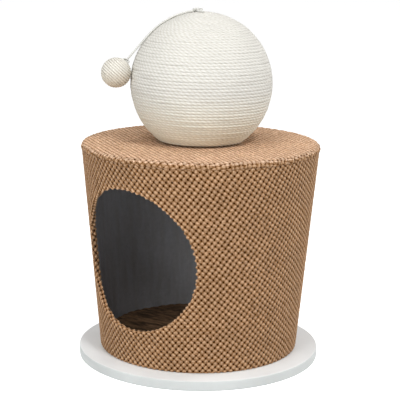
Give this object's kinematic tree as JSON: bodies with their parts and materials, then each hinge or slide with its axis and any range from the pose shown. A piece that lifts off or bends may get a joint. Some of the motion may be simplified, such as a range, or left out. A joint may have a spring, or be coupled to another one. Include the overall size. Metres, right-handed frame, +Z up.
{
  "type": "cat cave",
  "caption": "Plush-covered tapered drum with an oval entrance and a mat inside, on a round board, with a rope-wound scratching ball and a toy hanging from it.",
  "frame": {"origin": "centre of the round board's underside, on the floor", "axes": "+Z up along the drum's axis, -Y out through the entrance, +X to the right of someone who looks into it"},
  "size_m": [0.4, 0.4, 0.5758],
  "materials": {
    "board": "smooth matt white board",
    "plush": "light brown plush with small round bobbles",
    "panel": "raw fibreboard",
    "lining": "grey felt",
    "mat_plush": "dark brown plush",
    "foam": "polyester wadding",
    "rope": "off-white twisted sisal",
    "cord": "off-white twisted cord",
    "pulp": "raw moulded pulp",
    "block": "raw softwood",
    "zinc": "zinc plated"
  },
  "bodies": {
    "cave": {"base_plate": "board", "base_screw_1": "zinc", "base_screw_2": "zinc", "base_screw_3": "zinc", "base_screw_4": "zinc", "drum_floor": "panel", "floor_lining": "lining", "drum_wall": "panel", "drum_lining": "lining", "drum_cover": "plush", "ceiling_lining": "lining", "top_board": "panel", "top_padding": "foam", "top_cover": "plush", "ball_core": "pulp", "ball_seat": "block", "ball_insert": "zinc", "ball_washer": "zinc", "ball_bolt": "zinc", "ball_rope": "rope"},
    "mat": {"mat_underside": "lining", "mat_foam": "foam", "mat_top": "mat_plush"},
    "toy_line": {"top_knot": "cord", "cord_on_ball": "cord"},
    "toy": {"cord_to_toy": "cord", "toy_knot": "cord", "toy_core": "pulp", "toy_winding": "cord"}
  },
  "joints": [
    {"name": "mat_lift", "type": "slide", "parent": "cave", "child": "mat", "axis": [0, 0, 1], "range_m": [0, 0.1]},
    {"name": "toy_orbit", "type": "hinge", "parent": "cave", "child": "toy_line", "pos_m": [0, 0, 0.5703], "axis": [0, 0, 1], "continuous": true},
    {"name": "toy_swing", "type": "hinge", "parent": "toy_line", "child": "toy", "pos_m": [-0.05885, -0.06841, 0.53233], "axis": [-0.7581, 0.6521, 0], "range_deg": [0, 90]}
  ]
}
